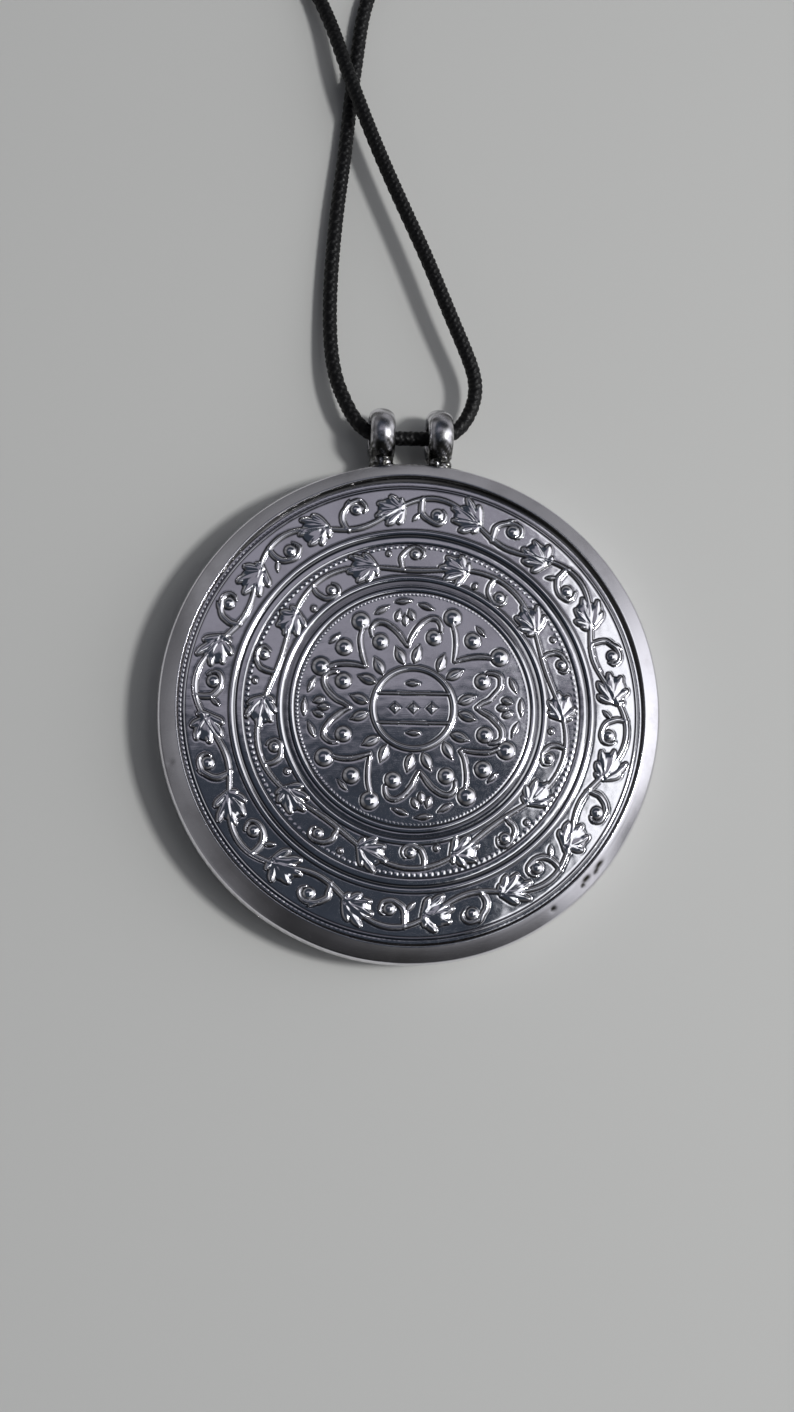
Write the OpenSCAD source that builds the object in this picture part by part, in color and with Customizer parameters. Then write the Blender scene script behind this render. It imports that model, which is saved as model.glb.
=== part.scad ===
// Round silver pendant with an embossed face, on a loop of black braided cord.
// The origin is on the disc's axis, on the surface that the pendant lies on.
// +Z is up through the face, and +Y points to the two bails.

/* [Disc] */
// Diameter at the widest part of the rim
disc_d = 55; // [54:0.5:56]
// Height of the crest of the rim above the surface
case_h = 6.4; // [6.2:0.1:7]
// Diameter of the crest of the rim
crest_d = 51.7; // [51.5:0.1:51.9]
// Diameter of the two silver sheets that the rim holds
sheet_d = 50.4; // [50.2:0.1:50.5]
// Thickness of the silver sheets
sheet_t = 0.4; // [0.35:0.05:0.5]
// Thickness of the rim's wall
wall_t = 0.6; // [0.5:0.05:0.8]
// Depth of the flat ground of the face below the crest of the rim
ground_depth = 0.55; // [0.5:0.05:0.7]

/* [Relief] */
// Height of the vine stems and scrolls above the ground
stem_h = 0.26; // [0.15:0.01:0.3]
// Height of the leaves and petals above the ground
leaf_h = 0.36; // [0.3:0.01:0.4]
// Middle radius of the outer vine band
outer_band_r = 22.15; // [22.05:0.05:22.25]
// Middle radius of the inner vine band
inner_band_r = 16.3; // [16.2:0.05:16.4]
// Radius of the ridge round the cartouche
cartouche_r = 4.4; // [4.3:0.05:4.5]
// Turn of the medallion's flowers against the bails, in degrees
medallion_turn = -5; // [-8:0.5:0]

/* [Bails] */
// Distance between the middles of the two bails
bail_pitch = 6.5; // [6.2:0.1:6.6]
// Width of a bail along its axis
bail_w = 2.85; // [2.5:0.05:3]
// Outer diameter of a bail
bail_d = 6.3; // [6.2:0.1:6.4]
// Diameter of the hole through a bail
bail_bore = 3.4; // [3.2:0.1:3.5]
// Distance from the disc's axis to the axis of the bails
bail_y = 31.3; // [31.2:0.05:31.4]

/* [Cord] */
// Diameter of the braided cord
cord_d = 1.7; // [1.5:0.1:1.7]
// Length of the knot's barrel
knot_l = 8; // [7:0.5:9]
// Diameter of the knot's barrel
knot_d = 4.4; // [4.2:0.1:4.6]

/* [Hidden] */
$fn = 96;

disc_r = disc_d / 2;
crest_r = crest_d / 2;
sheet_r = sheet_d / 2;
// Clearance round the edge of each sheet
fit = 0.05;
// Width of the ledge that a sheet rests on
ledge_w = 0.8;
ledge_t = 0.4;
// Level of the flat ground of the face
ground_z = case_h - ground_depth;
face_ledge_z = ground_z - sheet_t;
// Levels of the lower and the upper end of the rim's upright wall
wall_foot_z = 2.4;
wall_top_z = case_h - 1.85;
// Bevel along the edges of a bail
bail_edge = 0.25;
// Level of the middle of the bails, which hang just clear of the surface
bail_z = bail_d / 2 + 0.05;
// How far raised work is sunk into the sheet below it
bite = 0.15;
// Height of the round berries above the ground
berry_h = leaf_h + 0.1;

// Raised rings of the face: middle radius, width and height
RING_R = 0;
RING_W = 1;
RING_H = 2;
rings = [
    [cartouche_r, 0.5, 0.24],
    [13.35, 0.5, 0.22],
    [14.25, 0.5, 0.26],
    [18.33, 0.56, 0.24],
    [18.98, 0.58, 0.28],
    [19.62, 0.3, 0.1],
    [24.9, 0.4, 0.18]
];

// Columns of a point on a stroke: along the band, away from the stem, and width
ALONG = 0;
AWAY = 1;
WIDE = 2;
// A scroll leaves the stem and curls round to its berry
scroll = [
    [-1.4, 0.1, 0.5], [-1.56, 0.7, 0.5], [-1.5, 1.3, 0.5],
    [-1.2, 1.95, 0.48], [-0.7, 2.42, 0.46], [-0.1, 2.64, 0.4], [0.5, 2.6, 0.35]
];
scroll_berry = [0.4, 1.8];
scroll_berry_r = 0.68;

// Columns of a point on a leaf's outline: angle from its foot, and distance from its middle
ANGLE = 0;
REACH = 1;
half_leaf = [
    [12, 0.9], [30, 1.55], [43, 1.6], [54, 1.2], [68, 1.8], [84, 1.85],
    [99, 1.3], [115, 1.85], [131, 1.85], [150, 1.3], [168, 1.9], [180, 2.1]
];
// A band of vine: middle radius, swing of its stem, repeats, angle of its first swing, and size
BAND_R = 0;
SWING = 1;
REPEATS = 2;
FIRST = 3;
SIZE = 4;
outer_band = [outer_band_r, 1.42, 8, 6.3, 1];
inner_band = [inner_band_r, 1.05, 5, 36.5, 0.84];
stem_w = 0.55;

// Axes of the medallion's hearts and of the corners between them, a little uneven as in hand work
heart_axes = [0, 94, 180, 275];
corner_axes = [46, 136, 227.5, 316];
// Marks of the medallion. Columns of a point: angle from the mark's axis, radius, and width
TURN = 0;
RADIUS = 1;
THICK = 2;
// A berry of the medallion has its own radius in the third column
BALL = 2;
heart_scroll = [
    [0.6, 6.9, 0.3], [3.4, 7.6, 0.42], [6.2, 8.35, 0.46], [9.4, 9.1, 0.46], [13, 9.75, 0.46],
    [16.6, 10.1, 0.46], [20, 10.1, 0.44], [23, 9.7, 0.42], [24.8, 9.1, 0.36]
];
heart_berry = [20.5, 8.15, 0.86];
corner_stem = [
    [0.8, 6.9, 0.3], [3.6, 7.6, 0.4], [7.5, 8.6, 0.42], [11.8, 9.5, 0.42], [16, 10.3, 0.36]
];
corner_berry = [17.6, 11.05, 0.98];
middle_berry = [0, 9.98, 0.9];
// Teardrops: angle, radius, length, width, and turn from the radial direction
TEAR_L = 2;
TEAR_W = 3;
TEAR_TURN = 4;
axis_tears = [
    [-9, 5.95, 2.1, 1.05, -12], [9, 5.95, 2.1, 1.05, 12],
    [-12.5, 11.28, 1.9, 0.62, 78], [0, 11.8, 2.0, 0.62, 90], [12.5, 11.28, 1.9, 0.62, 102],
    [-4, 10.3, 1.3, 0.8, 24], [4, 10.3, 1.3, 0.8, -24], [0, 9.75, 1.3, 0.8, 0]
];
corner_tears = [
    [-9.5, 5.9, 2.1, 1.05, -12], [9.5, 5.9, 2.1, 1.05, 12], [0, 11.35, 1.6, 0.5, 96]
];
// The outer band's slanting dashes, in every eighth of it, and the inner band's dots, in every fifth
band_dashes = [[1.1, 21.35, 1.5, 0.5, 42], [27, 23.65, 1.4, 0.5, 42]];
band_dots = [[26.7, 15.25, 0.4], [63, 17.35, 0.4]];

// Cartouche: its bars, the dash beyond each bar, and the lozenges
cartouche_h = 0.16;
bar_y = 1.6;
bar_w = 0.32;
bar_dashes = [[0, 2.7, 1.6, 0.55, 90], [180, 2.7, 1.6, 0.55, 90]];
lozenge_pitch = 2;
lozenge_side = 0.95;

// The cord's route, from between the bails round to the same place
cord_route = [
    [0, 31.3, 2.8], [-3.6, 31.1, 3], [-5.9, 32.5, 2.9], [-7.3, 35.3, 2.6],
    [-8.6, 38.7, 2.1], [-9.1, 43.9, 1.5], [-9, 50.7, 1.3], [-8.3, 59.1, 1.2],
    [-7.3, 66.4, 1], [-6.7, 73.6, 0.9], [-5.9, 79.1, 0.9], [-5, 87.6, 0.9],
    [0.5, 95.3, 0.9], [10, 101.1, 0.9], [19.5, 108.3, 0.9], [26, 119.9, 0.9],
    [26.5, 135.2, 0.9], [25.8, 149.3, 0.9], [26.4, 164.7, 0.9], [24.8, 178.8, 0.9],
    [15.4, 187.9, 0.9], [7.4, 187.2, 1.7], [3.9, 187.1, 2.3], [-3.9, 187.1, 2.3],
    [-7.4, 187.2, 1.7], [-15.5, 188.1, 0.9], [-24.7, 179.4, 0.9], [-26.7, 165.2, 0.9],
    [-26.2, 149.8, 0.9], [-25.7, 135.6, 0.9], [-26.3, 120.8, 0.9], [-22.8, 107, 0.9],
    [-16.3, 96, 0.9], [-9.9, 85, 1.4], [-7.8, 77.3, 2.7], [-6.2, 72.4, 3.2],
    [-3.9, 66.2, 3.3], [-1.1, 59.5, 3.4], [1.8, 53, 3.6], [4.2, 46.7, 3.7],
    [6.3, 41.7, 3.6], [7.6, 38.4, 3.3], [7.4, 35.5, 3.2], [5.9, 32.5, 3],
    [3.6, 31.2, 3]
];
cord_sides = 8;
// Distance between the rings of the cord's tube
ring_step = 3 * cord_d;
knot_at = [0, 187.1, 2.25];
knot_bore = cord_d + 0.6;
// The cord's two short ends, in one line beside the knot
tail_reach = 10;
tail_y = -1.7;

// A point of the face at a radius and an angle, which runs clockwise from the bails
function at(r, a) = [r * sin(a), r * cos(a)];

// One side of a stroke, half its width away from the path
function stroke_side(path, widths, side) = [
    for (i = [0 : len(path) - 1])
        let (d = path[min(i + 1, len(path) - 1)] - path[max(i - 1, 0)])
        path[i] + side * widths[i] / 2 * [-d[1], d[0]] / norm(d)
];

function backwards(v) = [for (i = [len(v) - 1 : -1 : 0]) v[i]];

function stroke(path, widths) = concat(
    stroke_side(path, widths, 1), backwards(stroke_side(path, widths, -1))
);

// A half ellipse's worth of points that rises from a start to an end along a profile
function ridge_profile(ring) = [
    for (t = [0 : 30 : 180])
        [ring[RING_R] - ring[RING_W] / 2 * cos(t), ground_z + ring[RING_H] * sin(t)]
];

// Outer side of the rim: a rounded foot, the upright wall, a shoulder, and a bevel up to the crest
function rim_outside() = let (bevel_w = disc_r - 0.2 - crest_r) [
    [disc_r - 1.7, 0], [disc_r - 0.95, 0.3], [disc_r - 0.4, 0.95], [disc_r - 0.1, 1.7],
    [disc_r, wall_foot_z], [disc_r, wall_top_z], [disc_r - 0.04, case_h - 1.37],
    [crest_r + bevel_w, case_h - 1.14], [crest_r + 0.72 * bevel_w, case_h - 0.81],
    [crest_r + 0.43 * bevel_w, case_h - 0.48], [crest_r + 0.2 * bevel_w, case_h - 0.23],
    [crest_r + 0.07 * bevel_w, case_h - 0.07], [crest_r, case_h]
];

// Inner side of the rim, from the crest down past the face's ledge to the foot
function rim_inside() = [
    [crest_r - 0.15, case_h - 0.06], [crest_r - 0.35, case_h - 0.3],
    [sheet_r + fit, ground_z + 0.06], [sheet_r + fit, face_ledge_z],
    [sheet_r - ledge_w, face_ledge_z], [sheet_r - ledge_w, face_ledge_z - ledge_t],
    [sheet_r + 0.3, face_ledge_z - 1], [disc_r - 0.1 - wall_t, wall_top_z - 0.6],
    [disc_r - wall_t, wall_top_z - 1], [disc_r - wall_t, wall_foot_z],
    [disc_r - 0.3 - wall_t, 1.5], [sheet_r + 0.2, sheet_t + ledge_t],
    [sheet_r - ledge_w, sheet_t + ledge_t], [sheet_r - ledge_w, sheet_t],
    [sheet_r + fit, sheet_t], [sheet_r + fit, 0]
];

// A bail's section: flat towards the hole and round outside
function bail_section() = let (
    bore_r = bail_bore / 2,
    side_r = bore_r + bail_edge,
    half_w = bail_w / 2
) concat(
    [[bore_r, bail_edge - half_w], [side_r, -half_w]],
    [for (t = [-75 : 15 : 75]) [side_r + (bail_d / 2 - side_r) * cos(t), half_w * sin(t)]],
    [[side_r, half_w], [bore_r, half_w - bail_edge]]
);

module bail(x) {
    translate([x, bail_y, bail_z])
        rotate([0, 90, 0])
            rotate_extrude() polygon(bail_section());
}

// The solder that joins a bail's foot to the wall of the rim, and goes no further than the bail's hole
module solder(x) {
    foot_y = sqrt(pow(disc_r, 2) - pow(x, 2)) - 0.75;
    end_y = bail_y - bail_bore / 2 - 0.35;
    translate([x, foot_y, bail_z])
        rotate([-90, 0, 0])
            cylinder(h = end_y - foot_y, r = bail_w / 2 - 0.1);
}

module case_rim() {
    color("silver")
        union() {
            rotate_extrude() polygon(concat(rim_outside(), rim_inside()));
            for (x = [-bail_pitch / 2, bail_pitch / 2]) {
                bail(x);
                solder(x);
            }
        }
}

// The sheet of the face with its raised rings
module face_sheet() {
    profile = concat(
        [[0, face_ledge_z], [0, ground_z]],
        [for (ring = rings) each ridge_profile(ring)],
        [[sheet_r, ground_z], [sheet_r, face_ledge_z]]
    );
    rotate_extrude() polygon(profile);
}

module raised(height) {
    translate([0, 0, ground_z - bite])
        linear_extrude(height + bite) children();
}

// Radius of a band's stem at an angle: it swings out and in as often as the band repeats
function stem_radius(band, a) = band[BAND_R] + band[SWING] * cos(band[REPEATS] * (a - band[FIRST]));

module wavy_stem(band) {
    steps = band[REPEATS] * 12;
    outline = [
        for (side = [1, -1])
            for (i = [0 : steps - 1])
                let (a = i * 360 / steps)
                at(stem_radius(band, a) + side * stem_w / 2 * band[SIZE], a)
    ];
    polygon(outline, [[for (i = [0 : steps - 1]) i], [for (i = [0 : steps - 1]) steps + i]]);
}

// A point beside the stem: side is 1 where the stem swings out and -1 where it swings in
function beside(band, side, a, point) = at(
    band[BAND_R] + side * (band[SWING] - point[AWAY] * band[SIZE]),
    a + point[ALONG] * band[SIZE] / band[BAND_R] * 180 / PI
);

module vine_scroll(band, side, a) {
    polygon(stroke(
        [for (p = scroll) beside(band, side, a, p)],
        [for (p = scroll) p[WIDE] * band[SIZE]]
    ));
}

// A seven-lobed leaf whose foot points clockwise along the band
module vine_leaf(band, a) {
    half = [for (p = half_leaf) [p[REACH] * cos(p[ANGLE]), p[REACH] * sin(p[ANGLE])]];
    other = [for (i = [len(half) - 2 : -1 : 0]) [half[i][0], -half[i][1]]];
    translate(at(band[BAND_R], a))
        rotate(-a)
            polygon(band[SIZE] * concat(half, other));
}

// A teardrop whose long side is radial before it is turned
module teardrop(t) {
    outline = [
        for (b = [0 : 36 : 324])
            [t[TEAR_W] / 2 * sin(b) * (1 - 0.3 * cos(b)), t[TEAR_L] / 2 * cos(b)]
    ];
    translate(at(t[RADIUS], t[TURN]))
        rotate(-t[TURN] - t[TEAR_TURN])
            polygon(outline);
}

// A round berry, the upper part of a ball that is sunk into the sheet
module berry(place, r) {
    translate([place[0], place[1], ground_z])
        rotate_extrude()
            intersection() {
                translate([0, berry_h - r]) circle(r);
                translate([0, -bite]) square([r + 1, r + 1]);
            }
}

// A band of running vine: stem, scrolls with berries, and a leaf between two scrolls
module vine_band(band) {
    half_turn = 180 / band[REPEATS];
    for (i = [0 : 2 * band[REPEATS] - 1]) {
        a = band[FIRST] + i * half_turn;
        side = i % 2 == 0 ? 1 : -1;
        raised(stem_h)
            vine_scroll(band, side, a);
        raised(leaf_h)
            vine_leaf(band, a + half_turn / 2);
        berry(beside(band, side, a, scroll_berry), scroll_berry_r * band[SIZE]);
    }
    raised(stem_h)
        wavy_stem(band);
}

// The short slanting dashes of the outer band and the dots of the inner one
module dashes_and_dots() {
    for (i = [0 : 7])
        rotate(-i * 45)
            raised(stem_h)
                for (t = band_dashes) teardrop(t);
    for (i = [0 : 4])
        for (d = band_dots)
            berry(at(d[RADIUS], d[TURN] + i * 72), d[BALL]);
}

module mirrored_stroke(points) {
    for (side = [-1, 1])
        polygon(stroke(
            [for (p = points) at(p[RADIUS], side * p[TURN])],
            [for (p = points) p[THICK]]
        ));
}

// A stem to either side of an axis, each with its berry, and the petals near that axis
module flower(stem, ball, tears) {
    raised(stem_h)
        mirrored_stroke(stem);
    raised(leaf_h)
        for (t = tears) teardrop(t);
    for (side = [-1, 1])
        berry(at(ball[RADIUS], side * ball[TURN]), ball[BALL]);
}

// Four hearts of two scrolls each, and the flowers in the corners between them
module medallion() {
    for (a = heart_axes)
        rotate(-a - medallion_turn)
            flower(heart_scroll, heart_berry, axis_tears);
    for (a = corner_axes)
        rotate(-a - medallion_turn) {
            flower(corner_stem, corner_berry, corner_tears);
            berry(at(middle_berry[RADIUS], middle_berry[TURN]), middle_berry[BALL]);
        }
}

// Two bars, a dash above and below them, and three plain lozenges between them
module cartouche() {
    bar_l = 2 * sqrt(pow(cartouche_r, 2) - pow(bar_y, 2));
    raised(cartouche_h) {
        for (side = [-1, 1])
            translate([0, side * bar_y]) square([bar_l, bar_w], center = true);
        for (t = bar_dashes) teardrop(t);
        for (i = [-1 : 1])
            translate([i * lozenge_pitch, 0]) rotate(45) square(lozenge_side, center = true);
    }
}

module embossed_face() {
    color("lightsteelblue")
        union() {
            face_sheet();
            vine_band(outer_band);
            vine_band(inner_band);
            dashes_and_dots();
            medallion();
            cartouche();
        }
}

module underside_plate() {
    color("gray")
        cylinder(h = sheet_t, r = sheet_r);
}

// A place on the smooth closed curve that follows the route, t from 0 to 1 between two of its points
function on_route(p, i, t) = let (
    n = len(p),
    a = p[(i + n - 1) % n],
    b = p[i],
    c = p[(i + 1) % n],
    d = p[(i + 2) % n]
) (pow(1 - t, 3) * a + (3 * pow(t, 3) - 6 * t * t + 4) * b
    + (3 * t + 3 * t * t - 3 * pow(t, 3) + 1) * c + pow(t, 3) * d) / 6;

// A ring of points round the cord at a place, across its direction
function cord_ring(place, direction) = let (
    across = cross(direction, [0, 0, 1]) / norm(cross(direction, [0, 0, 1])),
    up = cross(across, direction) / norm(cross(across, direction))
) [
    for (j = [0 : cord_sides - 1])
        let (b = (j + 0.5) * 360 / cord_sides)
        place + cord_d / 2 * (cos(b) * across + sin(b) * up)
];

module neck_cord() {
    n = len(cord_route);
    line = [
        for (i = [0 : n - 1])
            let (steps = max(1, round(norm(cord_route[(i + 1) % n] - cord_route[i]) / ring_step)))
            for (k = [0 : steps - 1]) on_route(cord_route, i, k / steps)
    ];
    rings = len(line);
    points = [
        for (k = [0 : rings - 1])
            each cord_ring(line[k], line[(k + 1) % rings] - line[(k + rings - 1) % rings])
    ];
    faces = [
        for (k = [0 : rings - 1])
            for (j = [0 : cord_sides - 1])
                let (
                    a = k * cord_sides,
                    b = ((k + 1) % rings) * cord_sides,
                    m = (j + 1) % cord_sides
                )
                each [[a + j, a + m, b + m], [a + j, b + m, b + j]]
    ];
    color("black")
        polyhedron(points, faces);
}

// The knot's barrel with a hole for the cord, and the cord's two short ends beside it
module cord_knot() {
    bore_r = knot_bore / 2;
    edge_r = bore_r + 0.2;
    edge_x = knot_l / 2 - 0.3;
    barrel = concat(
        [[bore_r, -edge_x]],
        [
            for (t = [-80 : 20 : 80])
                [edge_r + (knot_d / 2 - edge_r) * pow(cos(t), 0.6), knot_l / 2 * sin(t) / sin(80)]
        ],
        [[bore_r, edge_x]]
    );
    color("dimgray")
        translate(knot_at)
            union() {
                rotate([0, 90, 0]) rotate_extrude() polygon(barrel);
                translate([0, tail_y, cord_d / 2 - knot_at[2]])
                    rotate([0, 90, 0])
                        cylinder(h = 2 * tail_reach, r = cord_d / 2, center = true);
            }
}

case_rim();
embossed_face();
underside_plate();
neck_cord();
cord_knot();
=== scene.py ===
"""Round embossed silver pendant on a loop of braided black cord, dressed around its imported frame."""

import math

import bmesh
import bpy
import numpy as np
from mathutils import Matrix, Vector


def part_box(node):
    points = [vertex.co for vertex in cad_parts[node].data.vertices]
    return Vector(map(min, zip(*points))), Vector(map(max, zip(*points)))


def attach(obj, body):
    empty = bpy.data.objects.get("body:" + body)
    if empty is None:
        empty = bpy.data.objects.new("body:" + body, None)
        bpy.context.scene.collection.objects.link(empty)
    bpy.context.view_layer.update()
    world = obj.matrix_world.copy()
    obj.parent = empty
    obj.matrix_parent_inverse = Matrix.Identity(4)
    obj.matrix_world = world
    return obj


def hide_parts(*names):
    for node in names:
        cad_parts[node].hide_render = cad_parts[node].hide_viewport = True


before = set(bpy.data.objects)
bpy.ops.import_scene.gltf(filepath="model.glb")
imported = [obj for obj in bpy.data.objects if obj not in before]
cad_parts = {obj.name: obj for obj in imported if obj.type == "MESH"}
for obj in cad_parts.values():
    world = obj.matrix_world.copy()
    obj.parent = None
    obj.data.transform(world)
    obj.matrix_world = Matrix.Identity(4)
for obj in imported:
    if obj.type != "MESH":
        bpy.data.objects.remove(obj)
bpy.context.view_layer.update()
MM = 0.001
# Chance in marks that were struck one by one
rng = np.random.default_rng(11)


def node_reach(name):
    """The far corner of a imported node's box, in millimetres."""
    return np.array(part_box(name)[1]) / MM


# Sizes in millimetres: the rim and its sheet
DISC_R, _, CASE_H = node_reach("case_rim")
SHEET_R = node_reach("embossed_face")[0]
SHEET_T = 0.4
CREST_R = 25.85
WALL_FOOT_Z = 2.4
WALL_TOP_Z = CASE_H - 1.85
# Levels of the face's ground and of the sheet's back
GROUND_Z = CASE_H - 0.55
FACE_BACK_Z = GROUND_Z - SHEET_T

# Heights of raised work above the ground, and depth of the veins in leaves
STEM_H = 0.2
FLOWER_H = 0.26
LEAF_H = 0.23
BERRY_H = 0.33
BAND_BERRY_H = 0.24
DOT_H = 0.3
BAR_H = 0.16
CARTOUCHE_H = 0.2
VEIN_DEPTH = 0.04
# Depth and half width of the fine cut round each mark, and half width of the oxide in it
CUT_DEPTH = 0.012
CUT_HALF = 0.1
CREASE_HALF = 0.1
# Radii where the pieces of the face meet, each in the flat between two rings
MEDALLION_R = 12.83
INNER_BAND_END_R = 19.18
# Raised rings of the face: middle radius, half width, height, and how flat the top is
RINGS = [
    (4.4, 0.31, 0.14, 2.2), (13.15, 0.29, 0.08, 2.2), (14.43, 0.33, 0.1, 2.2), (18.68, 0.39, 0.05, 4.0),
    (19.6, 0.31, 0.085, 2.2), (24.62, 0.14, 0.02, 2.2),
]
# A dark groove between two rings: middle radius, half width, darkness
GROOVE = (13.8, 0.17, 0.7)
# Rows of beads: radius, number, half length round the row, half width, full height, and the share of that
# height every 45 degrees clockwise from the bails
BEAD_ROWS = [
    (17.95, 176, 0.28, 0.24, 0.055, (0.6, 0.45, 0.5, 0.7, 0.5, 0.3, 0.9, 1)),
    (12.6, 186, 0.19, 0.16, 0.035, (0.5, 0.25, 0.2, 0.3, 0.3, 0.6, 1, 0.9)),
    (25.0, 300, 0.2, 0.14, 0.035, (0.1, 0.05, 0.1, 0.1, 0.1, 0.7, 1, 0.5)),
]

# Bands of vine: middle radius, swing of the stem, repeats, angle of its first swing, size of scrolls and
# size of leaves
OUTER_BAND = (22.15, 1.42, 8, 6.3, 1.0, 1.04)
INNER_BAND = (16.25, 1.0, 5, 36.5, 0.86, 0.98)
STEM_HALF = 0.3
# A scroll's path and its berry: along the band, away from the stem's peak, half width or radius
SCROLL_OUT = [
    (-1.42, 0.05, 0.22), (-1.49, 0.45, 0.29), (-1.52, 1.05, 0.33), (-1.42, 1.7, 0.34), (-1.12, 2.22, 0.34),
    (-0.62, 2.56, 0.33), (-0.05, 2.74, 0.31), (0.55, 2.76, 0.28), (1.05, 2.5, 0.24), (1.27, 2.05, 0.2),
    (1.17, 1.55, 0.15), (0.85, 1.2, 0.1),
]
BERRY_OUT = (0.28, 1.9, 0.7)
SCROLL_IN = [
    (-1.42, 0.05, 0.22), (-1.6, 0.45, 0.29), (-1.7, 1.0, 0.33), (-1.68, 1.5, 0.34), (-1.46, 2.04, 0.34),
    (-1.02, 2.5, 0.33), (-0.45, 2.84, 0.31), (0.15, 3.0, 0.28), (0.7, 2.9, 0.24), (1.08, 2.5, 0.2),
    (1.1, 2.0, 0.15), (0.8, 1.6, 0.1),
]
BERRY_IN = (0.12, 2.12, 0.72)
# Lobes of a leaf: tip along and outward, and half width. The foot is clockwise of the middle
LEAF_FOOT = (0.85, -0.1)
LEAF_BODY_R = 1.3
LEAF_BODY_H = LEAF_H * 0.85
LEAF_ROUND = [
    (-2.1, -0.25, 0.5), (-1.55, 1.05, 0.48), (-1.3, -1.4, 0.5), (-0.2, 1.55, 0.46), (0.1, -1.55, 0.44),
    (0.8, 1.0, 0.34),
]
LEAF_TALL = [
    (-1.3, 1.8, 0.44), (0.0, 1.5, 0.42), (-2.25, 0.45, 0.48), (-1.85, -0.85, 0.46), (-0.65, -1.4, 0.46),
    (0.5, -1.1, 0.36),
]
# Dashes of the outer band in each eighth, and dots of the inner band in each fifth
BAND_DASHES = [(1.1, 21.35, 1.5, 0.26, 42), (27.0, 23.65, 1.4, 0.24, 42)]
BAND_DOTS = [(26.7, 15.25, 0.36), (63.0, 17.3, 0.33)]
# How much the marks differ: shifts of a scroll's points, its berry and a leaf's tips, bow of a leaf's
# lobes, its turn in degrees, and the sway in degrees and shift outward of a medallion's stem and its berry
SCROLL_SHIFT = 0.035
SCROLL_BERRY_SHIFT = 0.05
TIP_SHIFT = 0.07
LOBE_BOW = 0.035
LEAF_TURN = 7
STEM_SWAY = (0.25, 0.03)
BERRY_SWAY = (0.4, 0.06)
# Unevenness of the sheet: height, number of waves, longest, shortest, seed
SHEET_WAVES = [(0.016, 14, 16, 5, 5), (0.0014, 22, 2.4, 0.9, 6)]

# Medallion: axes of its hearts and corners, then strokes as angle from the axis, radius and half width, and
# berries as angle, radius and size. The middle berry stands on the axis
HEART_AXES = (-5, 89, 175, 270)
CORNER_AXES = (41, 131, 222.5, 311)
HEART_SCROLL = [
    (0.6, 6.9, 0.18), (3.4, 7.6, 0.25), (6.2, 8.35, 0.29), (9.4, 9.1, 0.29), (13, 9.75, 0.29),
    (16.6, 10.1, 0.29), (20, 10.1, 0.28), (23, 9.7, 0.25), (24.8, 9.1, 0.2),
]
HEART_BERRY = (20.5, 8.15, 0.86)
CORNER_STEM = [(0.8, 6.9, 0.18), (3.6, 7.6, 0.24), (7.5, 8.6, 0.27), (11.8, 9.5, 0.27), (16, 10.3, 0.22)]
CORNER_BERRY = (17.6, 11.05, 0.98)
MIDDLE_BERRY = (9.98, 0.9)
# Drops and dashes: angle, radius, length, half width, turn from the radial direction
AXIS_DROPS = [
    (-9, 5.95, 2.1, 0.52, -12), (9, 5.95, 2.1, 0.52, 12),
    (-12.5, 11.28, 1.9, 0.31, 78), (0, 11.8, 2.0, 0.31, 90), (12.5, 11.28, 1.9, 0.31, 102),
    (-4, 10.3, 1.3, 0.4, 24), (4, 10.3, 1.3, 0.4, -24), (0, 9.75, 1.3, 0.4, 0),
]
CORNER_DROPS = [(-9.5, 5.9, 2.1, 0.52, -12), (9.5, 5.9, 2.1, 0.52, 12), (0, 11.35, 1.6, 0.25, 96)]
BAR_Y = 1.6
BAR_HALF = 0.14
BAR_END_R = 4.2
BAR_DASHES = [(0, 2.7, 1.7, 0.3, 90), (180, 2.7, 1.7, 0.3, 90)]
LOZENGE_PITCH = 2.0
LOZENGE_HALF = 0.62

# Rim: fall of its bevel, and how far its hand-made crest lies outside the mean circle, every 30 degrees
# clockwise from the bails
BEVEL_DROP = 1.14
CREST_SHIFT = [0.1, -0.09, -0.23, -0.34, -0.45, -0.42, -0.32, -0.42, -0.45, -0.43, -0.42, -0.1]
# Uneven waves of the crest and of the rim's outside: height, number round the rim, phase
CREST_WAVE = (0.012, 9, 2.2)
RIM_WAVES = [(0.02, 5, 1), (0.012, 11, 2.2), (0.007, 17, 0.4)]
# How far the rim is from round and inset for that, the width of its outer part, and where and by what share
# its bevel is flatter
OVAL = 0.16
INSET = 0.012
OUTER_W = 1.3
FLATTER_AT = 0.26
FLATTER = 0.23
# Nicks in the wall and dark pits in the bevel: angle clockwise from the bails, level, half sizes, depth
NICKS = [
    (248.0, 2.6, (0.5, 0.5), 0.12), (251.5, 2.2, (0.35, 0.4), 0.1), (244.0, 2.0, (0.3, 0.35), 0.1),
    (238.5, 2.4, (0.3, 0.4), 0.08), (256.5, 5.6, (0.3, 0.3), 0.1),
]
PITS = [
    (129.6, 5.9, (0.62, 0.15), 0.1), (131.4, 5.76, (0.34, 0.12), 0.08), (134.3, 5.94, (0.55, 0.16), 0.12),
    (136.0, 5.78, (0.25, 0.12), 0.08), (145.1, 5.9, (0.32, 0.14), 0.1),
]
# Where the painted shade on the rim's side is darkest, clockwise from the bails: it stands for the shadowed
# floor that this side reflects
SIDE_SHADE_AT = math.radians(222)

# Bails, which hang just clear of the surface
BAIL_PITCH = 6.5
BAIL_HALF_W = 1.425
BAIL_R = 3.15
BAIL_BORE_R = 1.7
BAIL_Y = 31.3
BAIL_Z = BAIL_R + 0.05
# How lumpy the solder is at the left and at the right bail
SOLDER_LUMPS = (0.05, 0.11)

# The braided cord: strands each way, steps across a cell, size of a cell and depth between strands
CORD_D = 1.7
STRANDS = 6
CELL_STEPS = 3
BRAID_CELL = 0.62
BRAID_DEPTH = 0.13
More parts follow.
